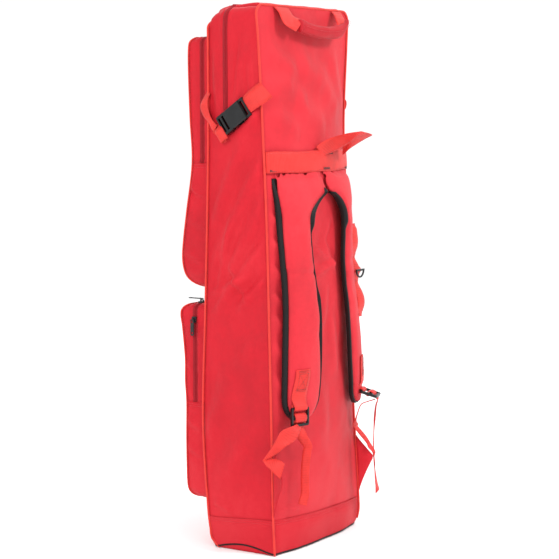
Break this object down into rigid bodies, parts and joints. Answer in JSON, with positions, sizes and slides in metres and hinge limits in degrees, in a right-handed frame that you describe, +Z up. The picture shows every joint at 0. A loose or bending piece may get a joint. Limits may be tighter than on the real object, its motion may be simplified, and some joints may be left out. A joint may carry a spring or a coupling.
{
  "type": "hockey stick bag",
  "caption": "Tall padded hockey stick bag worn as a backpack, with zipped pockets, folding top, shoulder straps, handles and side-release buckles.",
  "frame": {"origin": "centre of the flat underside of the base", "axes": "+Z up along the bag, -Y towards the pockets, +Y towards the wearer's back, +X to the wearer's right"},
  "size_m": [0.3635, 0.2894, 0.982],
  "materials": {
    "body_fabric": "plain-weave coated polyester, slight sheen",
    "back_fabric": "plain-weave polyester over foam",
    "base_fabric": "coated plain-weave polyester",
    "webbing": "ribbed polypropylene webbing",
    "piping": "woven tape over cord",
    "zip_tape": "coil zip and woven tape",
    "black_binding": "ribbed binding tape",
    "black_plastic": "moulded acetal, satin",
    "black_metal": "black lacquered zinc",
    "stiffener": "hollow plastic board"
  },
  "bodies": {
    "bag": {"anchor_band": "webbing", "back_panel": "back_fabric", "base_binding": "black_binding", "base_board": "stiffener", "base_panel": "base_fabric", "boot_band": "base_fabric", "buckle_socket_left": "black_plastic", "buckle_socket_right": "black_plastic", "compression_front_left": "webbing", "compression_front_right": "webbing", "compression_rear_straps": "webbing", "front_panel": "body_fabric", "front_piping": "piping", "grab_loop_anchors": "webbing", "lower_pocket_basin": "body_fabric", "lower_pocket_strip": "body_fabric", "lower_pocket_zip": "zip_tape", "lower_webbing_left": "webbing", "lower_webbing_right": "webbing", "main_zip_fixed_tape": "zip_tape", "rear_piping": "piping", "roof_rear_gusset": "body_fabric", "side_panel_left": "body_fabric", "side_panel_right": "body_fabric", "strap_wings": "base_fabric", "upper_pocket_basin": "body_fabric", "upper_pocket_strip": "body_fabric", "upper_pocket_zip": "zip_tape", "yoke_pad": "back_fabric"},
    "main_flap": {"flap_front_panel": "body_fabric", "flap_gusset": "body_fabric", "flap_piping": "piping", "main_zip_flap_tape": "zip_tape"},
    "upper_pocket_front": {"upper_pocket_flap": "body_fabric"},
    "lower_pocket_front": {"lower_pocket_flap": "body_fabric"},
    "main_slider": {"main_slider": "black_metal"},
    "main_puller": {"main_puller": "black_metal"},
    "upper_slider": {"upper_slider": "black_metal"},
    "upper_puller": {"upper_puller": "black_metal"},
    "lower_side_slider": {"lower_side_slider": "black_metal"},
    "lower_side_puller": {"lower_side_puller": "black_metal"},
    "lower_top_slider": {"lower_top_slider": "black_metal"},
    "lower_top_puller": {"lower_top_puller": "black_metal"},
    "top_handle": {"handle_webbing": "webbing", "handle_sleeve": "body_fabric"},
    "grab_loop": {"grab_loop": "webbing"},
    "strap_right": {"strap_pad_right": "back_fabric", "strap_binding_right": "black_binding", "strap_patch_right": "webbing"},
    "strap_left": {"strap_pad_left": "back_fabric", "strap_binding_left": "black_binding", "strap_patch_left": "webbing", "utility_strip": "webbing"},
    "lock_right": {"ladder_lock_right": "black_plastic"},
    "lock_left": {"ladder_lock_left": "black_plastic"},
    "tail_right": {"strap_tail_right": "webbing"},
    "tail_left": {"strap_tail_left": "webbing"},
    "d_ring": {"d_ring": "black_plastic"},
    "plug_right": {"buckle_plug_right": "black_plastic"},
    "plug_left": {"buckle_plug_left": "black_plastic"}
  },
  "joints": [
    {"name": "main_flap_fold", "type": "hinge", "parent": "bag", "child": "main_flap", "pos_m": [0, -0.066, 0.92525], "axis": [1, 0, 0], "range_deg": [0, 80]},
    {"name": "upper_pocket_fold", "type": "hinge", "parent": "bag", "child": "upper_pocket_front", "pos_m": [0, -0.115, 0.70025], "axis": [1, 0, 0], "range_deg": [0, 75]},
    {"name": "lower_pocket_fold", "type": "hinge", "parent": "bag", "child": "lower_pocket_front", "pos_m": [0, -0.143, 0.26225], "axis": [1, 0, 0], "range_deg": [0, 75]},
    {"name": "main_zip_travel", "type": "slide", "parent": "bag", "child": "main_slider", "axis": [0, 0, 1], "range_m": [-0.07, 0.012]},
    {"name": "main_puller_swing", "type": "hinge", "parent": "main_slider", "child": "main_puller", "pos_m": [-0.16806, -0.028, 0.9004], "axis": [0, 1, 0], "range_deg": [-3, 150]},
    {"name": "upper_zip_travel", "type": "slide", "parent": "bag", "child": "upper_slider", "axis": [0, 0, 1], "range_m": [-0.19, 0.01]},
    {"name": "upper_puller_swing", "type": "hinge", "parent": "upper_slider", "child": "upper_puller", "pos_m": [-0.1496, -0.093, 0.9054], "axis": [0, 1, 0], "range_deg": [-3, 100]},
    {"name": "lower_side_zip_travel", "type": "slide", "parent": "bag", "child": "lower_side_slider", "axis": [0, 0, 1], "range_m": [-0.14, 0.01]},
    {"name": "lower_side_puller_swing", "type": "hinge", "parent": "lower_side_slider", "child": "lower_side_puller", "pos_m": [0.1496, -0.111, 0.4144], "axis": [0, -1, 0], "range_deg": [-3, 150]},
    {"name": "lower_top_zip_travel", "type": "slide", "parent": "bag", "child": "lower_top_slider", "axis": [1, 0, 0], "range_m": [-0.236, 0.01]},
    {"name": "lower_top_puller_swing", "type": "hinge", "parent": "lower_top_slider", "child": "lower_top_puller", "pos_m": [0.118, -0.1106, 0.4506], "axis": [-1, 0, 0], "range_deg": [-3, 40]},
    {"name": "top_handle_swing", "type": "hinge", "parent": "bag", "child": "top_handle", "pos_m": [-0.018, 0.036, 0.976], "axis": [1, 0, 0], "range_deg": [-5, 120]},
    {"name": "grab_loop_swing", "type": "hinge", "parent": "bag", "child": "grab_loop", "pos_m": [0, 0.06736, 0.745], "axis": [1, 0, 0], "range_deg": [-25, 30]},
    {"name": "strap_right_swing", "type": "hinge", "parent": "bag", "child": "strap_right", "pos_m": [0.0875, 0.08152, 0.646], "axis": [1, 0, 0], "range_deg": [0, 14], "deforming": ["lower_webbing_right"]},
    {"name": "lock_right_swing", "type": "hinge", "parent": "strap_right", "child": "lock_right", "pos_m": [0.11442, 0.09858, 0.266], "axis": [0.9272, -0.3746, 0], "range_deg": [-3, 25]},
    {"name": "tail_right_swing", "type": "hinge", "parent": "lock_right", "child": "tail_right", "pos_m": [0.11442, 0.09858, 0.2325], "axis": [0.9272, -0.3746, 0], "range_deg": [-5, 35]},
    {"name": "plug_right_release", "type": "slide", "parent": "bag", "child": "plug_right", "axis": [0, -0.8192, -0.5736], "range_m": [0, 0.03], "deforming": ["compression_front_right"]},
    {"name": "strap_left_swing", "type": "hinge", "parent": "bag", "child": "strap_left", "pos_m": [-0.076, 0.07495, 0.646], "axis": [1, 0, 0], "range_deg": [0, 14], "deforming": ["lower_webbing_left"]},
    {"name": "lock_left_swing", "type": "hinge", "parent": "strap_left", "child": "lock_left", "pos_m": [-0.11528, 0.09613, 0.266], "axis": [0.9563, 0.2924, 0], "range_deg": [-10, 20]},
    {"name": "tail_left_swing", "type": "hinge", "parent": "lock_left", "child": "tail_left", "pos_m": [-0.12427, 0.12555, 0.25568], "axis": [0.9563, 0.2924, 0], "range_deg": [-5, 35]},
    {"name": "plug_left_release", "type": "slide", "parent": "bag", "child": "plug_left", "axis": [0, -0.8192, -0.5736], "range_m": [0, 0.03], "deforming": ["compression_front_left"]},
    {"name": "d_ring_swing", "type": "hinge", "parent": "strap_left", "child": "d_ring", "pos_m": [-0.09382, 0.10129, 0.497], "axis": [1, 0, 0], "range_deg": [0, 120]}
  ]
}
